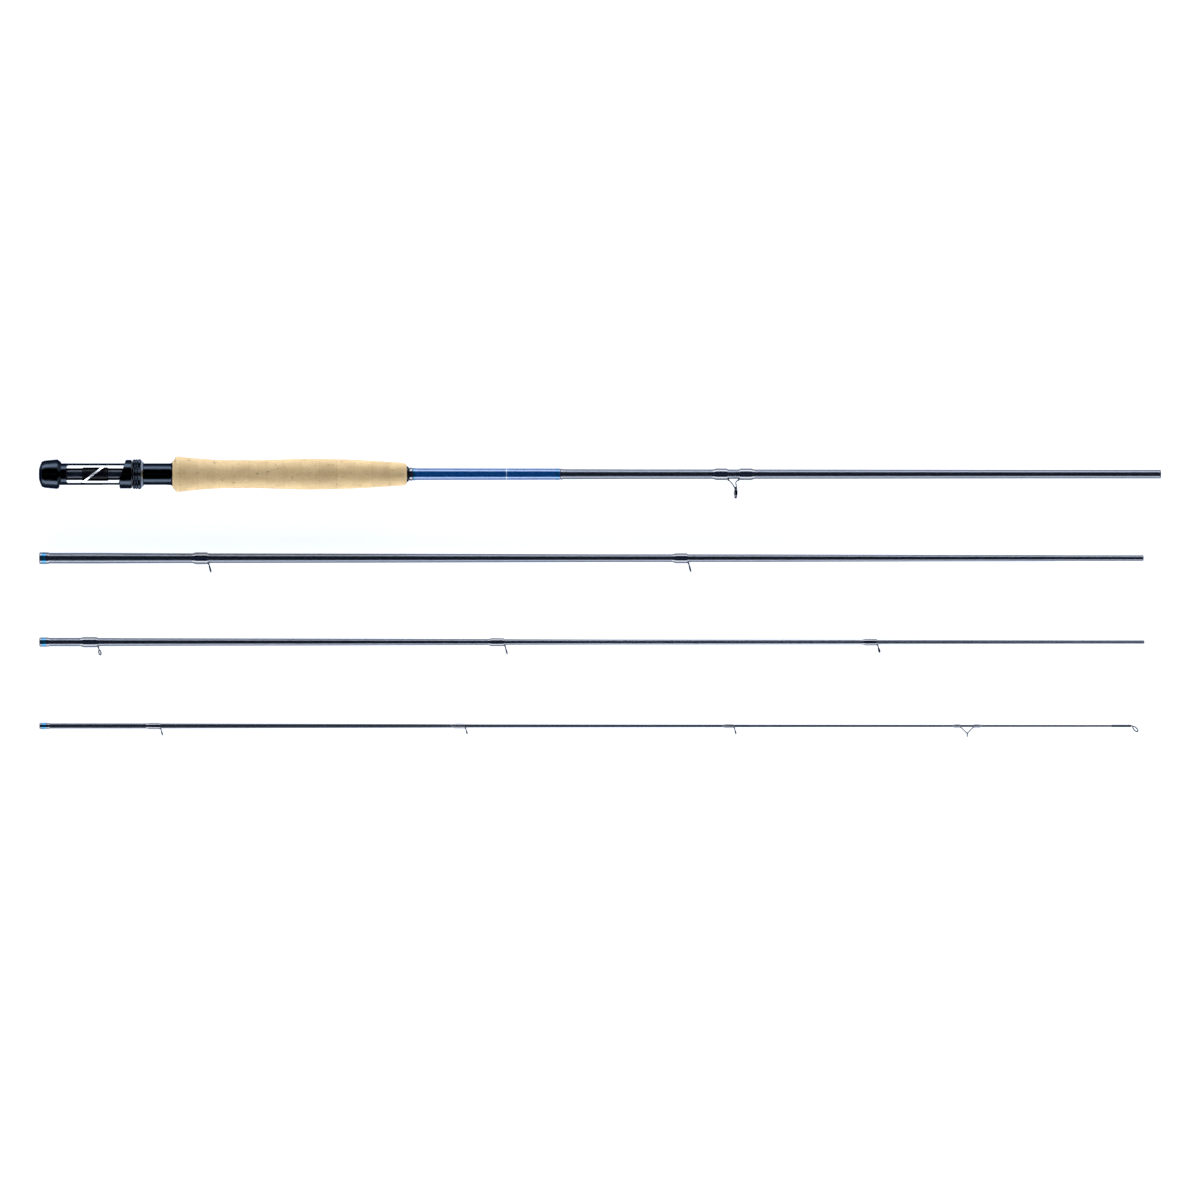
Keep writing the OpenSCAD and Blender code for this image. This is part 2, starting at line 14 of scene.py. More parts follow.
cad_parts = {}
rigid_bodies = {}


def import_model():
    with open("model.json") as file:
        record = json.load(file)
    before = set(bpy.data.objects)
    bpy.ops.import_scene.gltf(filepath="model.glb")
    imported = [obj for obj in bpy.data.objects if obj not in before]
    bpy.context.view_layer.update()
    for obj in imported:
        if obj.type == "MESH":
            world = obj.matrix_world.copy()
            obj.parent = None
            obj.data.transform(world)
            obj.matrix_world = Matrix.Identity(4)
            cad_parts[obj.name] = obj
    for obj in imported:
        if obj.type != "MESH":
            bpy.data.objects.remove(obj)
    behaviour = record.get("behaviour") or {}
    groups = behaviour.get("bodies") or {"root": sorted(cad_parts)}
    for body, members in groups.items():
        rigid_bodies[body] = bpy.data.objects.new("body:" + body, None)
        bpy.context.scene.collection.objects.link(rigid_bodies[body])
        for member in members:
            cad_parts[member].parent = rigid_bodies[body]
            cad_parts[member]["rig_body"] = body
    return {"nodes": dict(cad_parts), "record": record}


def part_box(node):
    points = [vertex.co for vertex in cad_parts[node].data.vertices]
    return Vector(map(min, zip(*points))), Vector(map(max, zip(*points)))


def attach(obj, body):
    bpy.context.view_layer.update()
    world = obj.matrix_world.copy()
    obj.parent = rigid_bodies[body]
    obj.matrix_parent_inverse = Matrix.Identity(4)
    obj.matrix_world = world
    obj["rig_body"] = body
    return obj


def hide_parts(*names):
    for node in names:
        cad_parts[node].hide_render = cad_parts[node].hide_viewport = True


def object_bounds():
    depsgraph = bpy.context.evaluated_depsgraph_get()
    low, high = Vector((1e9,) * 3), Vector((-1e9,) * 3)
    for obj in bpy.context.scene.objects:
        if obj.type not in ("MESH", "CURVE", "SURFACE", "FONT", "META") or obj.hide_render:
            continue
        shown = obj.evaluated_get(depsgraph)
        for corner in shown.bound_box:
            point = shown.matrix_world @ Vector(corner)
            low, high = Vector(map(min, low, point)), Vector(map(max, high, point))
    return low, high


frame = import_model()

MM = 0.001
BUTT, SECOND, THIRD, TIP = "butt", "second", "third", "tip"

cad_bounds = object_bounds()
rear_end = cad_bounds[0].x
slot_of = {part["node"]: part["material_slot"] for part in frame["record"]["subparts"]}

# How finely round things are divided, and the angle between faces that shows as an edge
ROUND = 96
FILLET_STEPS = 4
BEND_STEPS = 6
RING_STEPS = 64
WIRE_SIDES = 16
SHARP = math.radians(28)

# Clearance between a piece and what it sits on
gap = 0.02

# Reel seat, from the butt end
seat_r = 7.9
seat_bore_r = 6.4
# From, to, half its width and the radius of its corners
window = (19.9, 64.0, 6.3, 1.6)
# From, to, half its width and its depth
keyway = (46.0, 93.0, 1.5, 1.0)
# The pockets for the reel foot, to this many degrees on both sides of the guide side
pocket_angle = 38
pocket_r = 9.65
running_r = 7.98
cap_r = 10.75
cap_lip_r = 8.7
cap_pocket_from = 8.8
cap_floor = 8.0
hood_r = 10.45
# Where the oblique cut ends on the guide side and opposite it, and where the chamfer runs from and to
hood_rear = (56.8, 63.2)
hood_chamfer = (57.55, 58.9)
hood_chamfer_r = 7.1
hood_wall = 1.6
ring_r = 10.85
knurl_teeth = 54
knurl_depth = 0.26
# The lock ring's front bevel, cut after anodising
polished = (74.3, 75.8)
brace_reach = (30.6, 47.0)
brace_width = 2.0
brace_r = 7.7

# Grip
cork_ring_width = 12.7
# Depth of the glued joint between two cork rings, and its half width
cork_joint = (0.16, 0.35)
cork_pits = 90

# Wraps: their thickness by section, the ramps at their two ends, and the hump over a guide's foot
wrap_thickness = {BUTT: 0.8, SECOND: 0.78, THIRD: 0.72, TIP: 0.42}
wrap_ramp = 3.2
blunt_ramp = 2.0
foot_bump = 0.16
foot_bump_angle = 32

# Guides: the wire's diameter and the foot's width and height by section; lean and turns are in degrees
wire_d = {BUTT: 0.85, SECOND: 0.9, THIRD: 0.84, TIP: 0.7}
foot_width = {BUTT: 1.7, SECOND: 1.6, THIRD: 1.4, TIP: 0.9}
foot_height = {BUTT: 0.5, SECOND: 0.5, THIRD: 0.5, TIP: 0.36}
foot_tuck = 2.1
knuckle = 0.55
ring_lean = 15
stripping_open = 6
snake_x = 674.7
snake_ring_d = 3.0
# The tip loop: its slope and its turn in degrees, then its wire's radius, its own radius and its neck
loop_slope = 46
loop_open = 24
loop_wire_r, loop_r, loop_neck = 0.4, 2.45, 1.1
# Section, drop of the ring's centre, its outer diameter and its turn on its leg in degrees, for guides 2 to 9
single_guides = [
    (SECOND, 8.1, 4.7, 8), (SECOND, 7.8, 4.5, 6),
    (THIRD, 7.6, 4.2, 28), (THIRD, 6.9, 4.0, 5), (THIRD, 6.0, 3.7, 15),
    (TIP, 5.2, 3.4, 9), (TIP, 4.6, 3.0, 9), (TIP, 4.5, 3.0, 9),
]


# ---------------------------------------------------------------- reading the frame

def outer_steps(node, y, z, facing=1):
    """Radius of a turned CAD node at each of its steps along the rod, or of its bore with facing -1."""
    steps = {}
    for vertex in frame["nodes"][node].data.vertices:
        radial = Vector((0, vertex.co.y - y, vertex.co.z - z))
        if radial.length > 1e-6 and facing * radial.normalized().dot(vertex.normal) > 0.5:
            x = round((vertex.co.x - rear_end) / MM, 2)
            steps[x] = max(steps.get(x, 0), radial.length / MM)
    return sorted(steps.items())


def lookup(steps, x):
    """Value at x in a table of (x, value) steps, straight between them."""
    if x <= steps[0][0]:
        return steps[0][1]
    for (x0, v0), (x1, v1) in zip(steps, steps[1:]):
        if x <= x1:
            return v0 + (v1 - v0) * (x - x0) / (x1 - x0)
    return steps[-1][1]


class Section:
    """One section of the rod: where its axis lies, and the outside and inside of its blank."""

    def __init__(self, name):
        low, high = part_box(name + "_blank")
        self.name = name
        self.y = (low.y + high.y) / 2
        self.z = (low.z + high.z) / 2
        self.outside = outer_steps(name + "_blank", self.y, self.z)
        self.inside = outer_steps(name + "_blank", self.y, self.z, -1)

    def place(self, point):
        return Vector((rear_end + point[0] * MM, self.y + point[1] * MM, self.z + point[2] * MM))

    def blank_r(self, x):
        return lookup(self.outside, x)


sections = {name: Section(name) for name in (BUTT, SECOND, THIRD, TIP)}


def span(node):
    """Where a CAD node starts and ends along the rod."""
    low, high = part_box(node)
    return (low.x - rear_end) / MM, (high.x - rear_end) / MM


def radius(node):
    """Radius of a turned CAD node at its widest."""
    low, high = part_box(node)
    return (high.z - low.z) / 2 / MM


# ---------------------------------------------------------------- building meshes

def around(x, r, angle):
    """A point at distance x along the rod, at a radius and an angle in degrees from the guide side."""
    a = math.radians(angle)
    return Vector((x, -r * math.cos(a), r * math.sin(a)))


def even_angles(count=ROUND, edges=()):
    """Angles round the axis, with a close pair at each edge where an outline changes suddenly."""
    angles = {round(360 * k / count, 3) for k in range(count)}
    for edge in edges:
        angles = {a for a in angles if abs(a - edge) > 1.2}
        angles |= {edge - 0.4, edge + 0.4}
    return sorted(angles)


def rounded(corners):
    """A closed outline from corners (x, radius, fillet), with each corner eased by its fillet."""
    outline = []
    for k, (x, r, fillet) in enumerate(corners):
        here = Vector((x, r))
        back = Vector(corners[k - 1][:2]) - here
        on = Vector(corners[(k + 1) % len(corners)][:2]) - here
        if fillet == 0 or back.length < 1e-6 or on.length < 1e-6:
            outline += [(x, r)] * (1 if fillet == 0 else FILLET_STEPS + 1)
            continue
        start = here + back.normalized() * min(fillet, 0.45 * back.length)
        end = here + on.normalized() * min(fillet, 0.45 * on.length)
        for step in range(FILLET_STEPS + 1):
            t = step / FILLET_STEPS
            p = start * (1 - t) ** 2 + here * 2 * t * (1 - t) + end * t ** 2
            outline.append((p.x, p.y))
    return outline


def eased(corners, reach, steps=BEND_STEPS):
    """A path through corners, with each bend rounded over the reach on both sides."""
    path = [corners[0]]
    for before, here, after in zip(corners, corners[1:], corners[2:]):
        start = here + (before - here).normalized() * min(reach, 0.45 * (before - here).length)
        end = here + (after - here).normalized() * min(reach, 0.45 * (after - here).length)
        for step in range(steps + 1):
            t = step / steps
            path.append(start * (1 - t) ** 2 + here * 2 * t * (1 - t) + end * t ** 2)
    return path + [corners[-1]]


def smooth(t):
    t = max(0.0, min(1.0, t))
    return t * t * (3 - 2 * t)


def turns(count):
    """Even angles round a full circle, in radians."""
    return [2 * math.pi * k / count for k in range(count)]


class Shape:
    """A mesh in a section's own frame, put together from grids of quads."""

    def __init__(self):
        self.points = []
        self.faces = []

    def grid(self, rows, round_rows=True):
        """Adds closed rows of points, each joined to the next, and the last to the first if round_rows."""
        first = len(self.points)
        across = len(rows[0])
        for row in rows:
            self.points += row
        for i in range(len(rows) - (0 if round_rows else 1)):
            for j in range(across):
                here = first + i * across
                after = first + (i + 1) % len(rows) * across
                right = (j + 1) % across
                self.faces.append((here + j, here + right, after + right, after + j))
        return first

    def turned(self, outline, angles=None, centre=Vector((0, 0, 0)), open_by=0):
        """Turns a closed outline of (x, radius) about the axis, or a function that gives it by the angle."""
        opened = Matrix.Rotation(math.radians(open_by), 3, "Y")
        rows = []
        for angle in angles or even_angles():
            here = outline(angle) if callable(outline) else outline
            rows.append([centre + opened @ around(x, r, angle) for x, r in here])
        self.grid(rows)
        return self

    def closed_grid(self, rows):
        """A grid of closed rows, with a face across its first row and another across its last."""
        first = self.grid(rows, round_rows=False)
        across = len(rows[0])
        last = first + (len(rows) - 1) * across
        self.faces.append(tuple(range(first + across - 1, first - 1, -1)))
        self.faces.append(tuple(range(last, last + across)))
        return self

    def prism(self, outline, low, high):
        """A straight block over an outline of (x, y) points, from one height to another."""
        return self.closed_grid([[Vector((x, y, z)) for x, y in outline] for z in (low, high)])

    def tube(self, path, sizes):
        """A closed tube along a path; sizes are (half width, half height), and the width lies along z."""
        rows = []
        for k, here in enumerate(path):
            tangent = (path[min(k + 1, len(path) - 1)] - path[max(k - 1, 0)]).normalized()
            side = (Vector((0, 0, 1)) - tangent * tangent.z).normalized()
            up = tangent.cross(side)
            width, height = sizes[k]
            rows.append([
                here + side * width * math.cos(turn) + up * height * math.sin(turn)
                for turn in turns(WIRE_SIDES)
            ])
        return self.closed_grid(rows)

    def ring(self, centre, ring_radius, wire_radius, lean, open_by=0):
        """A wire ring across the rod, leaning towards the tip and turned on its leg to open upwards."""
        turn = Matrix.Rotation(math.radians(lean), 3, "Z") @ Matrix.Rotation(math.radians(open_by), 3, "Y")
        across = turn @ Vector((1, 0, 0))
        rows = []
        for u in turns(RING_STEPS):
            out = turn @ Vector((0, -math.cos(u), math.sin(u)))
            rows.append([
                centre + out * (ring_radius + wire_radius * math.cos(v)) + across * wire_radius * math.sin(v)
                for v in turns(WIRE_SIDES)
            ])
        self.grid(rows)
        return self

    def mesh(self, name, section):
        mesh = bpy.data.meshes.new(name)
        mesh.from_pydata([section.place(p) for p in self.points], [], self.faces)
        work = bmesh.new()
        work.from_mesh(mesh)
        bmesh.ops.remove_doubles(work, verts=work.verts, dist=2e-7)
        bmesh.ops.recalc_face_normals(work, faces=work.faces)
        work.to_mesh(mesh)
        work.free()
        return mesh


def carved(mesh, *cutters):
    """The mesh with the cutters' meshes taken out of it."""
    block = bpy.data.objects.new("block", mesh)
    tools = [bpy.data.objects.new("cutter", cutter) for cutter in cutters]
    for thing in [block, *tools]:
        bpy.context.scene.collection.objects.link(thing)
    for tool in tools:
        cut = block.modifiers.new("cut", "BOOLEAN")
        cut.operation = "DIFFERENCE"
        cut.solver = "EXACT"
        cut.object = tool
    bpy.context.view_layer.update()
    result = bpy.data.meshes.new_from_object(block.evaluated_get(bpy.context.evaluated_depsgraph_get()))
    for thing in [block, *tools]:
        bpy.data.objects.remove(thing)
    return result


def add_piece(name, mesh, finish, *nodes, bevel=0.0):
    """Puts a mesh in the scene as the piece that stands for these CAD nodes, on the body of the first."""
    piece = bpy.data.objects.new(name, mesh)
    bpy.context.scene.collection.objects.link(piece)
    mesh.materials.clear()
    mesh.materials.append(finish)
    mesh.polygons.foreach_set("use_smooth", [True] * len(mesh.polygons))
    mesh.set_sharp_from_angle(angle=SHARP)
    if bevel:
        edges = piece.modifiers.new("eased_edges", "BEVEL")
        edges.width = bevel * MM
        edges.segments = 2
        edges.limit_method = "ANGLE"
        edges.angle_limit = math.radians(40)
    normals = piece.modifiers.new("even_normals", "WEIGHTED_NORMAL")
    normals.keep_sharp = True
    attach(piece, frame["nodes"][nodes[0]]["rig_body"])
    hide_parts(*nodes)
    return piece


def add_shape(name, shape, section, finish, *nodes):
    return add_piece(name, shape.mesh(name, section), finish, *nodes)


def add_turned(node, section, finish, outline, angles=None):
    """A turned piece that stands for one CAD node."""
    return add_shape(node + "_turned", Shape().turned(outline, angles), section, finish, node)


# ---------------------------------------------------------------- finishes

class Finish:
    """A Principled material whose grain, wear and colour come from chains of nodes."""

    def __init__(self, name, colour, roughness, metallic=0.0, ior=1.5):
        self.material = bpy.data.materials.new(name)
        self.material.use_nodes = True
        self.tree = self.material.node_tree
        self.shader = self.tree.nodes["Principled BSDF"]
        self.where = self.add("ShaderNodeTexCoord").outputs["Object"]
        self.set("Base Color", (*colour, 1))
        self.set("Roughness", roughness)
        self.set("Metallic", metallic)
        self.set("IOR", ior)

    def set(self, socket, value):
        self.feed(self.shader.inputs[socket], value)

    def add(self, kind, **settings):
        node = self.tree.nodes.new(kind)
        for key, value in settings.items():
            setattr(node, key, value)
        return node

    def feed(self, socket, value):
        if isinstance(value, bpy.types.NodeSocket):
            self.tree.links.new(value, socket)
        else:
            socket.default_value = value

    def math(self, operation, a, b=0.0):
        node = self.add("ShaderNodeMath", operation=operation)
        self.feed(node.inputs[0], a)
        self.feed(node.inputs[1], b)
        return node.outputs[0]

    def along(self):
        """Distance along the rod, in millimetres."""
        parts = self.add("ShaderNodeSeparateXYZ")
        self.feed(parts.inputs[0], self.where)
        return self.math("MULTIPLY", self.math("SUBTRACT", parts.outputs[0], rear_end), 1 / MM)

    def noise(self, size, stretch=(1, 1, 1), detail=3.0):
        """Noise whose features are about this many millimetres across, before the stretch."""
        scaled = self.add("ShaderNodeVectorMath", operation="MULTIPLY")
        self.feed(scaled.inputs[0], self.where)
        scaled.inputs[1].default_value = [1 / (size * MM * s) for s in stretch]
        node = self.add("ShaderNodeTexNoise")
        node.inputs["Scale"].default_value = 1.0
        node.inputs["Detail"].default_value = detail
        self.feed(node.inputs["Vector"], scaled.outputs[0])
        return node.outputs["Fac"]

    def cells(self, size):
        """Distance from the nearest of points scattered this many millimetres apart, from 0 to about 1."""
        scaled = self.add("ShaderNodeVectorMath", operation="SCALE")
        self.feed(scaled.inputs[0], self.where)
        scaled.inputs["Scale"].default_value = 1 / (size * MM)
        node = self.add("ShaderNodeTexVoronoi")
        node.inputs["Scale"].default_value = 1.0
        self.feed(node.inputs["Vector"], scaled.outputs[0])
        return node.outputs["Distance"]

    def spread(self, value, from_low, from_high, low, high):
        """The value carried smoothly from one range of numbers to another."""
        node = self.add("ShaderNodeMapRange", interpolation_type="SMOOTHSTEP")
        ends = {"From Min": from_low, "From Max": from_high, "To Min": low, "To Max": high}
        for socket, number in ends.items():
            node.inputs[socket].default_value = number
        self.feed(node.inputs["Value"], value)
        return node.outputs["Result"]

    def blended(self, factor, a, b, mode="MIX"):
        node = self.add("ShaderNodeMix", data_type="RGBA", blend_type=mode)
        self.feed(node.inputs[0], factor)
        for socket, colour in ((node.inputs[6], a), (node.inputs[7], b)):
            self.feed(socket, colour if isinstance(colour, bpy.types.NodeSocket) else (*colour, 1))
        return node.outputs[2]

    def bump(self, height, depth, under=None):
        """A bump whose height, from 0 to 1, is this many millimetres deep."""
        node = self.add("ShaderNodeBump")
        node.inputs["Strength"].default_value = 1.0
        node.inputs["Distance"].default_value = depth * MM
        self.feed(node.inputs["Height"], height)
        if under is not None:
            self.feed(node.inputs["Normal"], under)
        return node.outputs["Normal"]

    def coat(self, weight, roughness, ior=1.5):
        self.set("Coat Weight", weight)
        self.set("Coat Roughness", roughness)
        self.set("Coat IOR", ior)


def anodised_finish(name, cut=None):
    """Black anodised aluminium with fine turning marks; a bevel cut after anodising is bright."""
    black, black_edge = (0.014, 0.018, 0.024), (0.34, 0.36, 0.4)
    f = Finish(name, black, 0.2, metallic=1.0)
    f.set("Specular Tint", (*black_edge, 1))
    if cut:
        after = f.spread(f.along(), cut[0], cut[0] + 0.15, 0, 1)
        before = f.spread(f.along(), cut[1] - 0.15, cut[1], 1, 0)
        bright = f.math("MULTIPLY", after, before)
        f.set("Base Color", f.blended(bright, black, (0.2, 0.23, 0.28)))
        f.set("Specular Tint", f.blended(bright, black_edge, (0.9, 0.93, 1)))
    marks = f.noise(0.18, (1, 60, 60), 2)
    handling = f.noise(7, detail=5)
    f.set("Roughness", f.spread(handling, 0.35, 0.7, 0.12, 0.24))
    f.set("Normal", f.bump(marks, 0.0016))
    return f.material


def strut_finish():
    """Blasted aluminium with a short brushed grain."""
    f = Finish("blasted_aluminium", (0.86, 0.88, 0.91), 0.5, metallic=1.0)
    grain = f.noise(0.12, (4, 1, 1), 4)
    f.set("Roughness", f.spread(grain, 0.3, 0.7, 0.45, 0.62))
    f.set("Normal", f.bump(grain, 0.006))
    return f.material


def resin_finish():
    f = Finish("arbor_resin", (0.002, 0.002, 0.004), 0.4)
    f.set("Specular IOR Level", 0.08)
    f.set("Roughness", f.spread(f.noise(1.5), 0.3, 0.7, 0.3, 0.45))
    f.set("Normal", f.bump(f.noise(0.4), 0.006))
    return f.material


def nylon_finish():
    f = Finish("nylon", (0.03, 0.03, 0.034), 0.42)
    f.set("Roughness", f.spread(f.noise(1.0), 0.3, 0.7, 0.36, 0.5))
    f.set("Normal", f.bump(f.noise(0.3), 0.004))
    return f.material


def cork_finish(joints_at):
    """Cork rings: each ring has its own tone, with patches, brown lenticels, fine cells and glued joints."""
    f = Finish("cork", (0.34, 0.25, 0.12), 0.72, ior=1.4)
    f.set("Sheen Weight", 0.12)
    f.set("Sheen Roughness", 0.4)
    ring = f.math("DIVIDE", f.math("SUBTRACT", joints_at, f.along()), cork_ring_width)
    tone = f.add("ShaderNodeTexWhiteNoise", noise_dimensions="1D")
    f.feed(tone.inputs["W"], f.math("FLOOR", ring))
    from_joint = f.math("PINGPONG", ring, 0.5)
    patches = f.spread(f.noise(7, (1.5, 1, 1), 4), 0.38, 0.64, 0, 1)
    body = f.blended(patches, (0.5, 0.357, 0.175), (0.455, 0.32, 0.15))
    ring_tone = f.spread(tone.outputs["Value"], 0, 1, 0.95, 1.04)
    grey = f.add("ShaderNodeCombineXYZ")
    for socket in grey.inputs:
        f.feed(socket, ring_tone)
    body = f.blended(1.0, body, grey.outputs[0], "MULTIPLY")
    fine = f.noise(0.7, detail=6)
    body = f.blended(f.spread(fine, 0.35, 0.75, 0, 0.35), body, (0.24, 0.16, 0.07))
    lenticels = f.spread(f.noise(2.1, (1.7, 1, 1), 5), 0.62, 0.72, 0, 1)
    body = f.blended(f.math("MULTIPLY", lenticels, 0.6), body, (0.13, 0.075, 0.03))
    joint = f.spread(from_joint, 0.0, 0.022, 1, 0)
    body = f.blended(f.math("MULTIPLY", joint, 0.22), body, (0.16, 0.1, 0.045))
    f.set("Base Color", body)
    f.set("Roughness", f.spread(fine, 0.3, 0.7, 0.64, 0.86))
    cells = f.bump(f.cells(0.5), 0.03)
    worn = f.bump(fine, 0.07, cells)
    f.set("Normal", f.bump(f.math("SUBTRACT", 1.0, lenticels), 0.12, worn))
    return f.material


def graphite_finish(name, gloss, bare_to=0):
    """Wrapped carbon under a satin coat, bare at its rear, with faint ridges left by the curing tape."""
    f = Finish(name, (0.004, 0.006, 0.012), 0.3)
    f.set("Specular Tint", (0.82, 0.88, 1.0, 1))
    f.set("Specular IOR Level", f.spread(f.along(), bare_to, bare_to + 1, 0.45, gloss))
    tape_pitch = 1.7
    uneven = f.math("ADD", f.along(), f.noise(3))
    ridge = f.math("SINE", f.math("MULTIPLY", uneven, 2 * math.pi / tape_pitch))
    weave = f.noise(0.35, (8, 1, 1), 3)
    fibres = f.spread(weave, 0.4, 0.7, 0, 1)
    f.set("Base Color", f.blended(fibres, (0.003, 0.005, 0.01), (0.008, 0.011, 0.02)))
    f.set("Roughness", f.spread(weave, 0.3, 0.7, 0.27, 0.34))
    f.set("Normal", f.bump(weave, 0.0006, f.bump(f.spread(ridge, -1, 1, 0, 1), 0.003)))
    return f.material


def thread_finish(name, dark, light, roughness=0.45, metallic=0.0, coat=1.0):
    """Wound thread under a clear epoxy coat."""
    f = Finish(name, dark, roughness, metallic)
    thread_d = 0.22
    wave = f.math("SINE", f.math("MULTIPLY", f.along(), 2 * math.pi / thread_d))
    rows = f.spread(wave, -1, 1, 0, 1)
    f.set("Base Color", f.blended(f.math("MULTIPLY", rows, f.noise(0.8, detail=4)), dark, light))
    f.set("Roughness", f.spread(f.noise(0.5), 0.3, 0.7, roughness - 0.08, roughness + 0.1))
    f.set("Specular IOR Level", 0.15)
    f.set("Normal", f.bump(rows, 0.012))
    f.coat(coat, 0.05, 1.8)
    return f.material


def label_finish():
    """Deep blue metallic film under epoxy, with fine flakes; it carries no lettering."""
    f = Finish("label_blue", (0.0, 0.03, 0.2), 0.3)
    flakes = f.cells(0.12)
    shade = f.spread(flakes, 0.1, 0.8, 0, 1)
    f.set("Base Color", f.blended(shade, (0.005, 0.045, 0.165), (0.003, 0.03, 0.115)))
    f.set("Roughness", f.spread(f.noise(2.0), 0.3, 0.7, 0.24, 0.34))
    f.set("Normal", f.bump(flakes, 0.001))
    f.set("Specular Tint", (0.3, 0.6, 1.0, 1))
    f.coat(1.0, 0.05)
    return f.material


def silver_finish():
    """Silver paint under clear epoxy."""
    f = Finish("silver_line", (0.2, 0.25, 0.33), 0.4)
    f.set("Base Color", f.blended(f.noise(0.3), (0.17, 0.22, 0.3), (0.24, 0.29, 0.38)))
    f.set("Roughness", f.spread(f.noise(0.4), 0.3, 0.7, 0.32, 0.48))
    f.coat(1.0, 0.05)
    return f.material


def wire_finish():
    """Black chromed steel wire with draw marks and slight handling haze."""
    f = Finish("guide_wire", (0.03, 0.031, 0.036), 0.3, metallic=1.0)
    f.set("Specular Tint", (0.2, 0.2, 0.23, 1))
    haze = f.noise(1.2, detail=4)
    f.set("Roughness", f.spread(haze, 0.3, 0.7, 0.22, 0.36))
    f.set("Base Color", f.blended(haze, (0.036, 0.037, 0.043), (0.02, 0.021, 0.024)))
    f.set("Normal", f.bump(f.noise(0.15, detail=2), 0.002))
    return f.material


def ceramic_finish():
    f = Finish("guide_ceramic", (0.36, 0.36, 0.38), 0.15, ior=1.7)
    mottle = f.noise(0.9, detail=4)
    f.set("Base Color", f.blended(mottle, (0.32, 0.32, 0.34), (0.4, 0.4, 0.42)))
    f.set("Roughness", f.spread(mottle, 0.3, 0.7, 0.1, 0.2))
    f.set("Normal", f.bump(f.noise(0.5), 0.001))
    return f.material


grip_from, grip_to = span("cork_rings")
finishes = {
    "black_anodised": anodised_finish("black_anodised"),
    "cut_anodised": anodised_finish("cut_anodised", polished),
    "bright_aluminium": strut_finish(),
    "arbor_resin": resin_finish(),
    "nylon": nylon_finish(),
    "cork": cork_finish(grip_to),
    "graphite": graphite_finish("graphite", 1.0),
    "butt_graphite": graphite_finish("butt_graphite", 1.0, 96),
    "slim_graphite": graphite_finish("slim_graphite", 0.35),
    "label_blue": label_finish(),
    "metallic_thread": thread_finish(
        "metallic_thread", (0.004, 0.07, 0.16), (0.012, 0.16, 0.27), 0.3, 0.8, 0.3),
    "silver_line": silver_finish(),
    "wrap_epoxy": thread_finish("wrap_epoxy", (0.006, 0.008, 0.018), (0.014, 0.018, 0.036)),
    "guide_wire": wire_finish(),
    "guide_ceramic": ceramic_finish(),
}


def finish_of(node):
    return finishes[slot_of[node]]


# ---------------------------------------------------------------- reel seat

butt = sections[BUTT]


def in_pocket(angle):
    return min(angle, 360 - angle) < pocket_angle


pocket_edges = even_angles(ROUND, (pocket_angle, 360 - pocket_angle))


def cap_outline(angle):
    """A domed end, a slow swell, and a cone down to the lip; the bore has a pocket on the guide side."""
    tube_r = seat_r + gap
    bore = pocket_r if in_pocket(angle) else tube_r
    lip_r = max(cap_lip_r, bore + 0.2)
    lip_x = 13.6 + 2.6 * (cap_r - lip_r) / (cap_r - cap_lip_r)
    return rounded([
        (0, 0, 0), (0, 4, 0.8), (0.7, 6.2, 0.9), (2.0, 9.2, 0.8), (4.2, 9.95, 0.3), (12.9, cap_r, 0.15),
        (13.6, cap_r, 0.2), (lip_x, lip_r, 0.12), (lip_x, bore, 0), (cap_pocket_from, bore, 0),
        (cap_pocket_from, tube_r, 0), (cap_floor, tube_r, 0), (cap_floor, 0, 0),
    ])


add_turned("butt_cap", butt, finish_of("butt_cap"), cap_outline, pocket_edges)


def rectangle(low_x, high_x, low_y, high_y):
    return [(low_x, low_y), (high_x, low_y), (high_x, high_y), (low_x, high_y)]


def rounded_rectangle(low_x, high_x, half_y, r):
    outline = []
    for cx, cy, turn in ((high_x - r, half_y - r, 0), (low_x + r, half_y - r, 90),
                         (low_x + r, r - half_y, 180), (high_x - r, r - half_y, 270)):
        for step in range(7):
            a = math.radians(turn + 15 * step)
            outline.append((cx + r * math.cos(a), cy + r * math.sin(a)))
    return outline


def seat_tube():
    low, high = span("seat_frame")
    tube = Shape().turned(
        rounded([(low, seat_bore_r, 0), (low, seat_r, 0.2), (high, seat_r, 0.2), (high, seat_bore_r, 0)]),
        even_angles(144))
    windows = Shape().prism(rounded_rectangle(*window), -2 * seat_r, 2 * seat_r)
    slot_from, slot_to, half, depth = keyway
    slot = Shape().prism(rectangle(slot_from, slot_to, -2 * seat_r, depth - seat_r), -half, half)
    cut = carved(tube.mesh("seat_tube", butt), windows.mesh("windows", butt), slot.mesh("slot", butt))
    add_piece("seat_frame_tube", cut, finish_of("seat_frame"), "seat_frame", bevel=0.18)


seat_tube()


def brace():
    """A plain curved strut that crosses the upper window from rail to rail."""
    reach = window[2] - gap
    eased_by, thick, steps = 0.12, 1, 32
    near, far = eased_by, brace_width - eased_by
    top, bottom = eased_by, thick - eased_by
    across = [(0, top), (near, 0), (far, 0), (brace_width, top),
              (brace_width, bottom), (far, thick), (near, thick), (0, bottom)]
    rows = []
    for step in range(steps + 1):
        t = step / steps
        y = reach * (2 * t - 1)
        left = brace_reach[0] + t * (brace_reach[1] - brace_reach[0])
        rows.append([Vector((left + dx, y, math.sqrt((brace_r - down) ** 2 - y * y))) for dx, down in across])
    shape = Shape().closed_grid(rows)
    add_shape("seat_brace_strut", shape, butt, finish_of("seat_brace"), "seat_brace")


brace()


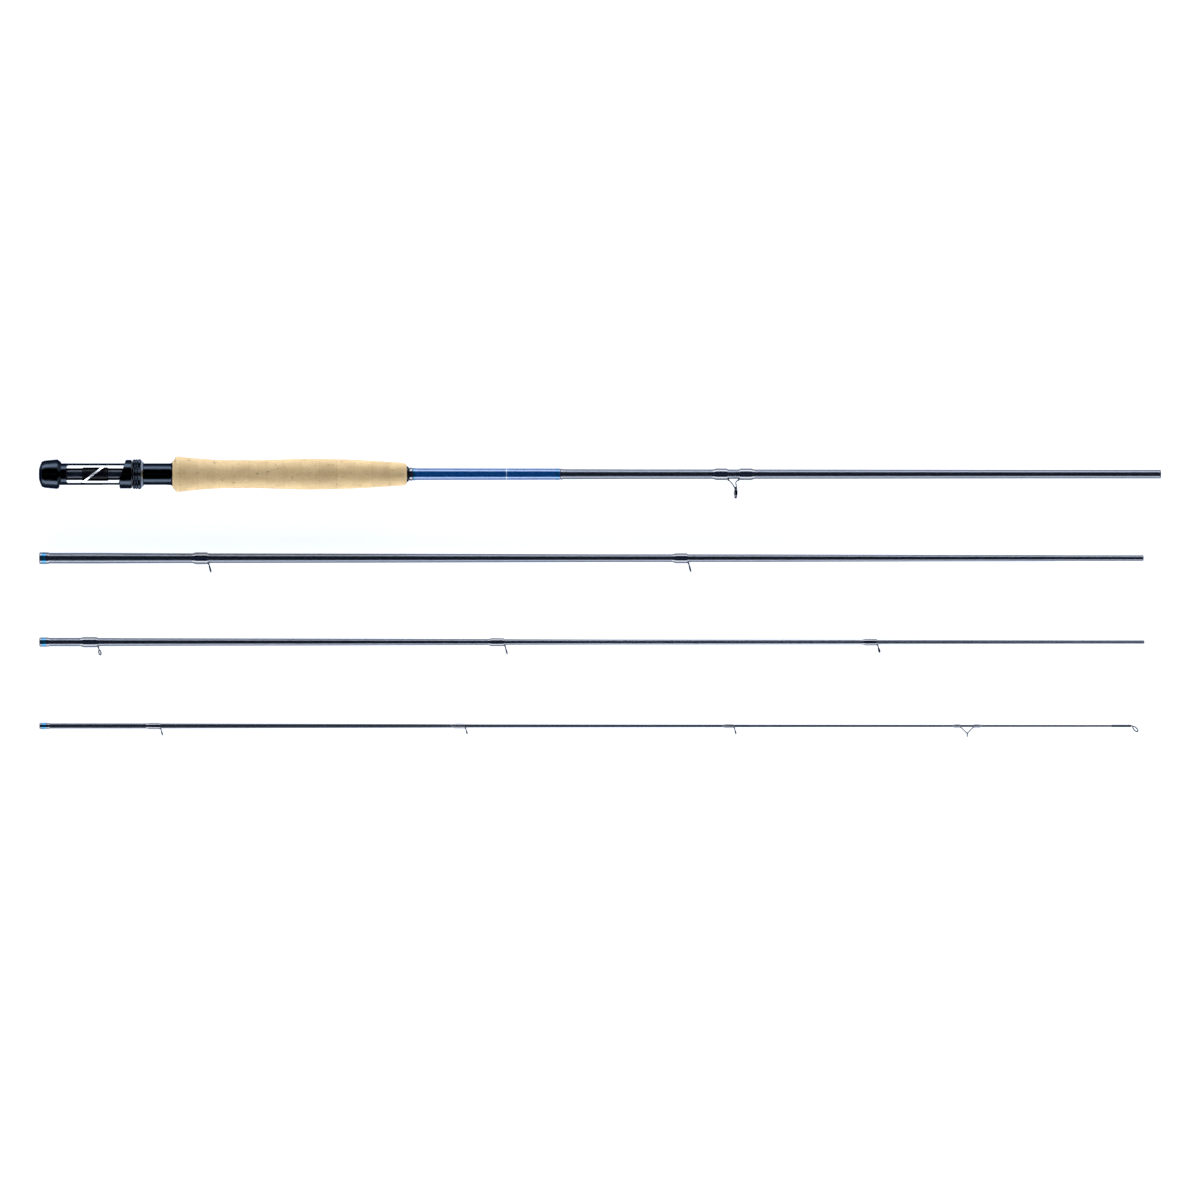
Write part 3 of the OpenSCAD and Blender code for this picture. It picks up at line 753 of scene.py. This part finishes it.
def hood_rear_x(angle, r):
    """The rear is cut oblique, reaching further back on the guide side, where it is chamfered."""
    middle = sum(hood_rear) / 2
    oblique = middle - (hood_rear[1] - middle) * math.cos(math.radians(angle)) * r / hood_r
    share = (r - hood_chamfer_r) / (hood_r - hood_chamfer_r)
    chamfer = hood_chamfer[0] + (hood_chamfer[1] - hood_chamfer[0]) * share
    return max(oblique, chamfer)


def hood_outline(angle):
    """A plain sleeve with a front wall; the bore behind the wall has a pocket on the guide side."""
    high = span("sliding_hood")[1]
    wall_x = high - hood_wall
    bore = pocket_r if in_pocket(angle) else running_r
    rear = [(hood_rear_x(angle, r), r, 0) for r in (bore, (bore + hood_r) / 2, hood_r - 0.15)]
    return rounded(rear + [
        (hood_rear_x(angle, hood_r) + 0.12, hood_r, 0.05), (high - 0.4, hood_r, 0.15),
        (high, hood_r - 0.4, 0.1), (high, running_r, 0), (wall_x, running_r, 0), (wall_x, bore, 0),
    ])


add_turned("sliding_hood", butt, finish_of("sliding_hood"), hood_outline, pocket_edges)


def hood_key():
    """The key inside the hood, which runs in the seat tube's keyway."""
    high = span("sliding_hood")[1]
    half = keyway[2] - 0.3
    block = rectangle(high - hood_wall, high - 0.05, -running_r - 0.4, 0.65 - seat_r)
    key = Shape().prism(block, -half, half).mesh("hood_key", butt)
    add_piece("hood_key", key, finish_of("sliding_hood"), "sliding_hood", bevel=0.1)


hood_key()


def lock_ring_outline(angle):
    """Three beads with a straight knurl, then a polished bevel."""
    low, high = span("lock_ring")
    tooth = 0.5 - 0.5 * math.cos(math.radians(knurl_teeth * angle))
    top = ring_r - knurl_depth * (1 - tooth)
    groove = ring_r - 0.55
    return rounded([
        (low, running_r, 0), (low, top - 0.85, 0.1), (low + 0.85, top, 0.15), (low + 1.45, top, 0.12),
        (low + 1.75, groove, 0.1), (low + 2.0, groove, 0.1), (low + 2.3, top, 0.12), (low + 3.2, top, 0.12),
        (low + 3.5, groove, 0.1), (low + 3.75, groove, 0.1), (low + 4.05, top, 0.12), (low + 5.7, top, 0.1),
        (low + 5.9, ring_r - 0.4, 0.1), (low + 6.1, ring_r - 0.4, 0.08), (high, ring_r - 2.3, 0.1),
        (high, running_r, 0),
    ])


add_turned("lock_ring", butt, finishes["cut_anodised"], lock_ring_outline, even_angles(6 * knurl_teeth))


def plain_ring(node, wall, fillet, section=butt):
    """A ring with eased edges in the place of a turned CAD node."""
    low, high = span(node)
    outer = radius(node)
    add_turned(node, section, finish_of(node), rounded([
        (low, outer - wall, 0), (low, outer, fillet), (high, outer, fillet), (high, outer - wall, 0)]))


plain_ring("hood_washer", 1.6, 0.1)


def collar_outline():
    low, high = span("seat_collar")
    bore = butt.blank_r(low) + gap
    return rounded([
        (low, bore, 0), (low, seat_r, 0.05), (low + 1.5, seat_r + 0.05, 0.4), (low + 2.2, seat_r + 0.35, 0.3),
        (high, seat_r + 1.3, 0.12), (high, bore, 0)])


add_turned("seat_collar", butt, finish_of("seat_collar"), collar_outline())


# ---------------------------------------------------------------- grip

grip_steps = outer_steps("cork_rings", butt.y, butt.z)


def grip_stations():
    """Distances along the grip, close together at its ends and at each glued joint, and the joints."""
    pitch = 0.85
    stations = {round(grip_from + pitch * k, 3) for k in range(int((grip_to - grip_from) / pitch))}
    joints = []
    half_width = cork_joint[1]
    at = grip_to - cork_ring_width
    while at > grip_from:
        joints.append(at)
        stations = {x for x in stations if abs(x - at) > 0.5}
        stations |= {at - half_width, at - half_width / 2, at, at + half_width / 2, at + half_width}
        at -= cork_ring_width
    stations |= {grip_from + 0.25 * k for k in range(14)}
    stations |= {grip_to - 0.2 * k for k in range(11)}
    return sorted(stations), joints


def grip():
    """The cork grip, sanded to shape, with shallow glue lines and small open pits."""
    dice = random.Random(7)
    stations, joints = grip_stations()
    pits = [
        (dice.uniform(grip_from + 4, grip_to - 3), dice.uniform(0, 360), dice.uniform(0.5, 1.3),
         dice.uniform(0.1, 0.32))
        for _ in range(cork_pits)
    ]
    inner = butt.blank_r(grip_from) + gap
    angles = even_angles(144)
    rows = [[around(grip_from, inner, a) for a in angles]]
    for x in stations:
        r = lookup(grip_steps, x)
        nearest = min(abs(x - joint) for joint in joints)
        r -= cork_joint[0] * max(0, 1 - nearest / cork_joint[1]) ** 2
        near = [pit for pit in pits if abs(pit[0] - x) < pit[2]]
        row = []
        for a in angles:
            here = around(x, r, a)
            sink = 0.05 * noise.noise(here * 0.45) + 0.03 * noise.noise(here * 1.1)
            for pit_x, pit_angle, size, depth in near:
                apart = math.hypot(x - pit_x, math.radians((a - pit_angle + 180) % 360 - 180) * r)
                sink += depth * smooth(1 - apart / size)
            row.append(around(x, r - sink, a))
        rows.append(row)
    rows.append([around(grip_to, inner, a) for a in angles])
    shape = Shape()
    shape.grid(rows)
    add_shape("cork_grip", shape, butt, finish_of("cork_rings"), "cork_rings")


grip()


def check_outline():
    low, high = span("winding_check")
    inner = butt.blank_r(low) + gap
    return rounded([
        (low, inner, 0), (low, 5.75, 0.15), (low + 0.8, 5.6, 0.3), (high, 4.9, 0.15), (high, inner, 0)])


add_turned("winding_check", butt, finish_of("winding_check"), check_outline())


# ---------------------------------------------------------------- blanks, label and wraps

def blank_outline(section):
    """The blank's outside, then its bore and socket, back to the start."""
    outside = list(section.outside)
    inside = list(section.inside)
    end = [] if inside[-1][0] > outside[-1][0] - 2 else [(outside[-1][0], 0), (inside[-1][0], 0)]
    return outside + end + inside[::-1]


def sleeve_outline(section, low, high, rear_r, front_r, ramp, thin=0.12, steps=56):
    """A wrap that swells smoothly from the blank at both ends."""
    outline = [(low, section.blank_r(low) + 0.01)]
    for k in range(steps + 1):
        x = low + (high - low) * k / steps
        full = rear_r + (front_r - rear_r) * k / steps
        edge = section.blank_r(x) + thin
        outline.append((x, edge + (full - edge) * smooth(min(x - low, high - x) / ramp)))
    return outline + [(high, section.blank_r(high) + 0.01)]


def wrapped(node, section, rear_r, front_r, ramp):
    low, high = span(node)
    add_turned(node, section, finish_of(node), sleeve_outline(section, low, high, rear_r, front_r, ramp))


graphite_of = {BUTT: "butt_graphite", SECOND: "graphite", THIRD: "graphite", TIP: "slim_graphite"}
for section in sections.values():
    finish = finishes[graphite_of[section.name]]
    add_turned(section.name + "_blank", section, finish, blank_outline(section), even_angles(64))

wrapped("core_sleeve", butt, 4.9, 4.9, 0.7)
wrapped("label_rear_wrap", butt, 4.95, 4.8, 0.7)
wrapped("label_front_wrap", butt, 4.2, 4.1, 0.9)


def label():
    """The blue sleeve, with a groove for each of the thin rings set in it."""
    low, high = span("label_sleeve")
    rear_r = radius("label_sleeve")
    front_r = lookup(outer_steps("label_sleeve", butt.y, butt.z), high)
    outline = [(low, butt.blank_r(low) + 0.01, 0), (low, rear_r, 0.06)]
    for node in ("label_rear_band", "label_divider", "label_front_band"):
        band_low, band_high = span(node)
        r = rear_r + (front_r - rear_r) * (band_low - low) / (high - low)
        outline += [(band_low - gap, r, 0.03), (band_low - gap, r - 0.2, 0),
                    (band_high + gap, r - 0.2, 0), (band_high + gap, r, 0.03)]
        plain_ring(node, 0.2, 0.06)
    outline += [(high, front_r, 0.06), (high, butt.blank_r(high) + 0.01, 0)]
    add_turned("label_sleeve", butt, finish_of("label_sleeve"), rounded(outline))


label()


def ferrule_wrap(section):
    """A wrap over the mouth of the socket, with a metallic band of thread set in it."""
    wrap, trim = section.name + "_ferrule_wrap", section.name + "_trim_band"
    low, high = span(wrap)
    outer = radius(wrap)
    band_low, band_high = span(trim)
    groove = outer - 0.28
    add_turned(wrap, section, finish_of(wrap), rounded([
        (low, section.blank_r(low) + 0.01, 0), (low, outer - 0.35, 0.15), (low + 0.5, outer, 0.25),
        (band_low - gap, outer, 0.1), (band_low - gap, groove, 0), (band_high + gap, groove, 0),
        (band_high + gap, outer, 0.1), (high - 0.9, outer - 0.1, 0.5),
        (high, section.blank_r(high) + 0.12, 0.1), (high, section.blank_r(high) + 0.01, 0)]))
    plain_ring(trim, 0.24, 0.08, section)


for name in (SECOND, THIRD, TIP):
    ferrule_wrap(sections[name])


def guide_wrap(node, section, toward=1):
    """A wrap over a guide's foot, with a long ramp behind it, a blunt end and a hump of epoxy over it."""
    low, high = span(node)
    behind, ahead = (low, high) if toward > 0 else (high, low)
    top = wrap_thickness[section.name]
    blunt = 0.62 * top

    def outline(angle):
        side = min(angle, 360 - angle)
        hump = foot_bump * smooth(1.3 - side / foot_bump_angle)
        points = [(low, section.blank_r(low) + 0.01)]
        for k in range(49):
            x = low + (high - low) * k / 48
            behind_by, ahead_by = abs(x - behind), abs(ahead - x)
            rise = smooth(behind_by / wrap_ramp)
            thick = 0.1 + (top - 0.1) * rise
            cap = blunt + (top - blunt) * math.sqrt(max(0, 1 - max(0, 1 - ahead_by / blunt_ramp) ** 2))
            points.append((x, section.blank_r(x) + min(thick, cap) + hump * rise))
        return points + [(high, section.blank_r(high) + 0.01)]

    add_turned(node, section, finish_of(node), outline, even_angles(72))


# ---------------------------------------------------------------- guides

def foot(shape, section, thin_x, bend, on=()):
    """Adds a ground foot that lies on the blank, turns up at the bend and goes on through more points."""
    leg_r = 0.94 * wire_d[section.name] / 2
    half_w, half_h = foot_width[section.name] / 2, foot_height[section.name] / 2
    toward = 1 if bend.x > thin_x else -1
    base = section.blank_r(min(thin_x, bend.x)) + gap
    flat_y = -(base + half_h)
    corners = [
        Vector((thin_x, flat_y + 0.8 * half_h, 0)), Vector((thin_x + toward * 2.5, flat_y, 0)),
        Vector((bend.x - toward * 1.6, flat_y, 0)), bend,
    ]
    path = eased(corners + list(on), 0.45)
    sizes = []
    for p in path:
        from_thin = abs(p.x - thin_x)
        to_bend = (bend.x - p.x) * toward
        on_foot = smooth(to_bend / 1.6) if p.y > bend.y - 0.3 else 0.0
        width = (0.25 + 0.75 * smooth(from_thin / 2.5)) * half_w
        height = (0.3 + 0.7 * smooth(from_thin / 1.2)) * half_h
        sizes.append((leg_r + (width - leg_r) * on_foot, leg_r + (height - leg_r) * on_foot))
    shape.tube(path, sizes)


def knob(shape, centre, r):
    """A small smooth ball of braze."""
    rows = []
    for step in range(17):
        polar = math.pi * step / 16
        belt = r * math.sin(polar)
        height = r * math.cos(polar)
        rows.append([centre + Vector((belt * math.cos(a), height, belt * math.sin(a))) for a in turns(24)])
    shape.grid(rows, round_rows=False)


def bend_y(section, x):
    """Height across the rod of a wire that rests on the blank at x."""
    return -(section.blank_r(x) + gap + wire_d[section.name] / 2)


def single_guide(number, section, drop, ring_d, open_by):
    """One foot, a bend, a short leg and a wire ring that leans towards the tip."""
    node = f"guide_{number}"
    low, high = span(node + "_wrap")
    thin_x = low + foot_tuck
    bend = Vector((high + knuckle, bend_y(section, thin_x), 0))
    lean = math.radians(ring_lean)
    centre = Vector((bend.x + (bend.y + drop) * math.tan(lean), -drop, 0))
    wire_r = wire_d[section.name] / 2
    top = centre + (ring_d / 2 - wire_r) * Vector((-math.sin(lean), math.cos(lean), 0))
    shape = Shape()
    foot(shape, section, thin_x, bend, [top])
    knob(shape, bend - Vector((0, 0.2, 0)), 1.5 * wire_r)
    knob(shape, top, 1.25 * wire_r)
    shape.ring(centre, ring_d / 2 - wire_r, wire_r, ring_lean, open_by)
    add_shape(node + "_wire", shape, section, finish_of(node), node)
    guide_wrap(node + "_wrap", section)


for number, (name, drop, ring_d, open_by) in enumerate(single_guides, start=2):
    single_guide(number, sections[name], drop, ring_d, open_by)


def stripping_guide():
    """A holder round a ceramic ring, with two struts from the rear foot and a crank from the front foot."""
    rear_low, rear_high = span("stripping_rear_wrap")
    front_low, front_high = span("stripping_front_wrap")
    low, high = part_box("stripping_ring")
    centre = Vector((((low.x + high.x) / 2 - rear_end) / MM, ((low.y + high.y) / 2 - butt.y) / MM, 0))
    holder_r = 4.2
    wall = 0.8
    strut = holder_r - wall / 2
    tangent = math.radians(22)
    wire_r = wire_d[BUTT] / 2
    y = bend_y(butt, rear_low)
    rear_bend = Vector((rear_high + knuckle, y, 0))
    front_bend = Vector((front_low - knuckle, y, 0))
    shape = Shape()
    for thin_x, bend in ((rear_low + foot_tuck, rear_bend), (front_high - foot_tuck, front_bend)):
        foot(shape, butt, thin_x, bend)
        knob(shape, bend - Vector((0, 0.25, 0)), 1.65 * wire_r)
    for side in (-1, 1):
        end = Vector((centre.x + 0.3, centre.y + strut * math.sin(tangent), side * strut * math.cos(tangent)))
        middle = (rear_bend + end) / 2 + Vector((0.6, 0.4, 0.12 * end.z))
        path = eased([rear_bend, middle, end], 2.5, 8)
        shape.tube(path, [(0.84 * wire_r, 0.84 * wire_r)] * len(path))
        knob(shape, end, wire_r)
    crank = eased([
        front_bend, Vector((centre.x, y - 1.9, 0)), Vector((centre.x + 0.6, centre.y + holder_r - 0.4, 0)),
    ], 0.8, 8)
    shape.tube(crank, [(0.88 * wire_r, 0.88 * wire_r)] * len(crank))
    inner = holder_r - wall
    holder = rounded([(-0.8, inner, 0.15), (-0.8, holder_r, 0.3), (0.8, holder_r, 0.3), (0.8, inner, 0.15)])
    shape.turned(holder, even_angles(72), centre, stripping_open)
    add_shape("stripping_guide_wire", shape, butt, finish_of("stripping_guide"), "stripping_guide")
    outer = inner - gap
    ceramic = rounded([
        (-1.05, 3.05, 0.25), (-0.35, 2.75, 0.5), (0.35, 2.75, 0.5), (1.05, 3.05, 0.25),
        (1.05, outer, 0.15), (-1.05, outer, 0.15)])
    insert = Shape().turned(ceramic, even_angles(72), centre, stripping_open)
    add_shape("stripping_ring_insert", insert, butt, finish_of("stripping_ring"), "stripping_ring")
    guide_wrap("stripping_rear_wrap", butt)
    guide_wrap("stripping_front_wrap", butt, -1)


stripping_guide()


def snake_guide():
    """Two feet whose legs meet above a small wire ring."""
    section = sections[TIP]
    rear_low, rear_high = span("snake_rear_wrap")
    front_low, front_high = span("snake_front_wrap")
    lowest = (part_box("snake_guide")[0].y - section.y) / MM
    wire_r = wire_d[TIP] / 2
    y = bend_y(section, rear_low)
    centre = Vector((snake_x, lowest + snake_ring_d / 2, 0))
    crown = centre + Vector((0, snake_ring_d / 2 - wire_r, 0))
    shape = Shape()
    foot(shape, section, rear_low + foot_tuck, Vector((rear_high + knuckle, y, 0)), [crown])
    foot(shape, section, front_high - foot_tuck, Vector((front_low - knuckle, y, 0)), [crown])
    knob(shape, crown, 1.5 * wire_r)
    shape.ring(centre, snake_ring_d / 2 - wire_r, wire_r, 0)
    add_shape("snake_guide_wire", shape, section, finish_of("snake_guide"), "snake_guide")
    guide_wrap("snake_rear_wrap", section)
    guide_wrap("snake_front_wrap", section, -1)


snake_guide()


def tip_top():
    """A closed tube over the end of the blank, and the loop brazed to it."""
    section = sections[TIP]
    low, high = span("tip_tube")
    outer = radius("tip_tube")
    bore = section.blank_r(low) + gap
    floor_x = section.outside[-1][0] + gap
    add_turned("tip_tube", section, finish_of("tip_tube"), rounded([
        (low, bore, 0), (low, outer - 0.08, 0.05), (low + 0.3, outer, 0.2), (high - 1, outer, 0.5),
        (high, 0.6, 0.25), (high, 0, 0), (floor_x, 0, 0), (floor_x, bore, 0)]), even_angles(48))
    slope = math.radians(loop_slope)
    along = Vector((math.cos(slope), -math.sin(slope), 0))
    r = loop_wire_r
    start = Vector((high + gap + 1.12 * r, 0, 0))
    centre = start + (loop_neck + loop_r - r) * along
    end = centre - loop_r * along
    shape = Shape()
    knob(shape, start, 1.12 * r)
    shape.tube([start, start + 0.5 * (end - start), end], [(1.1 * r, r), (0.9 * r, 0.9 * r), (1.2 * r, r)])
    shape.ring(centre, loop_r, r, 90 - loop_slope, loop_open)
    add_shape("tip_loop_wire", shape, section, finish_of("tip_loop"), "tip_loop")


tip_top()

# The CAD nodes that still show get their finish
for name, node in frame["nodes"].items():
    if not node.hide_render:
        node.data.materials.clear()
        node.data.materials.append(finish_of(name))


# ---------------------------------------------------------------- table, light and camera

# Brightness of the surroundings by their angle from overhead towards a side, as a share of a half circle
LIGHT_BY_ANGLE = [(0.0, 0.15), (0.28, 0.15), (0.31, 0.6), (0.36, 9.5), (0.43, 10.0), (0.5, 7.0), (1.0, 1.0)]
# Share of it that is left by how far a direction points along the rods
LIGHT_BY_END = [(0.0, 1.0), (0.55, 1.0), (0.85, 0.15), (1.0, 0.1)]


def white_table():
    mesh = bpy.data.meshes.new("table")
    far = 40.0
    mesh.from_pydata([(-far, -far, 0), (far, -far, 0), (far, far, 0), (-far, far, 0)], [], [(0, 1, 2, 3)])
    table = bpy.data.objects.new("table", mesh)
    bpy.context.scene.collection.objects.link(table)
    table.location.z = cad_bounds[0].z - 0.0002
    f = Finish("white_table", (0.22, 0.22, 0.22), 0.9, ior=1.2)
    f.set("Base Color", f.blended(f.noise(60), (0.21, 0.21, 0.21), (0.23, 0.23, 0.23)))
    f.set("Emission Color", (0.84, 0.89, 1, 1))
    f.set("Emission Strength", 1.08)
    mesh.materials.append(f.material)


def studio_light():
    """Two long soft boxes beside the table, along the rods, under a dark ceiling, and dim ends."""
    world = bpy.data.worlds.new("studio")
    bpy.context.scene.world = world
    world.use_nodes = True
    nodes, links = world.node_tree.nodes, world.node_tree.links

    def add(kind, **settings):
        node = nodes.new(kind)
        for key, value in settings.items():
            setattr(node, key, value)
        return node

    def ramp(value, stops):
        """Brightness by the value, smooth between stops of (value, brightness)."""
        node = add("ShaderNodeFloatCurve")
        top = max(level for _, level in stops)
        curve = node.mapping.curves[0]
        for k, (at, level) in enumerate(stops):
            if k < 2:
                curve.points[k].location = (at, level / top)
            else:
                curve.points.new(at, level / top)
        node.mapping.use_clip = False
        node.mapping.update()
        links.new(value, node.inputs["Value"])
        scaled = add("ShaderNodeMath", operation="MULTIPLY")
        scaled.inputs[1].default_value = top
        links.new(node.outputs[0], scaled.inputs[0])
        return scaled.outputs[0]

    parts = add("ShaderNodeSeparateXYZ")
    links.new(add("ShaderNodeTexCoord").outputs["Generated"], parts.inputs[0])
    # Angle from overhead towards either side, as a share of the half circle
    side = add("ShaderNodeMath", operation="ARCTAN2")
    across = add("ShaderNodeMath", operation="ABSOLUTE")
    links.new(parts.outputs[1], across.inputs[0])
    links.new(across.outputs[0], side.inputs[0])
    links.new(parts.outputs[2], side.inputs[1])
    share = add("ShaderNodeMath", operation="DIVIDE")
    share.inputs[1].default_value = math.pi
    links.new(side.outputs[0], share.inputs[0])
    lit = ramp(share.outputs[0], LIGHT_BY_ANGLE)
    ends = add("ShaderNodeMath", operation="ABSOLUTE")
    links.new(parts.outputs[0], ends.inputs[0])
    kept = ramp(ends.outputs[0], LIGHT_BY_END)
    total = add("ShaderNodeMath", operation="MULTIPLY")
    links.new(lit, total.inputs[0])
    links.new(kept, total.inputs[1])
    links.new(total.outputs[0], nodes["Background"].inputs["Strength"])
    nodes["Background"].inputs["Color"].default_value = (0.85, 0.9, 1.0, 1)


def camera():
    """Straight above the table, as the photograph was taken, with a very long lens."""
    data = bpy.data.cameras.new("camera")
    low, high = cad_bounds
    seen = 1.07 * (high.x - low.x)
    height = 12.0
    middle_of_rods = 0.0065
    below_middle = 0.0024
    data.angle = 2 * math.atan(seen / 2 / (height - middle_of_rods))
    data.clip_end = 100
    item = bpy.data.objects.new("camera", data)
    item.location = ((low.x + high.x) / 2, (low.y + high.y) / 2 - below_middle, height)
    bpy.context.scene.collection.objects.link(item)
    bpy.context.scene.camera = item
    bpy.context.scene.view_settings.view_transform = "Standard"


white_table()
studio_light()
camera()
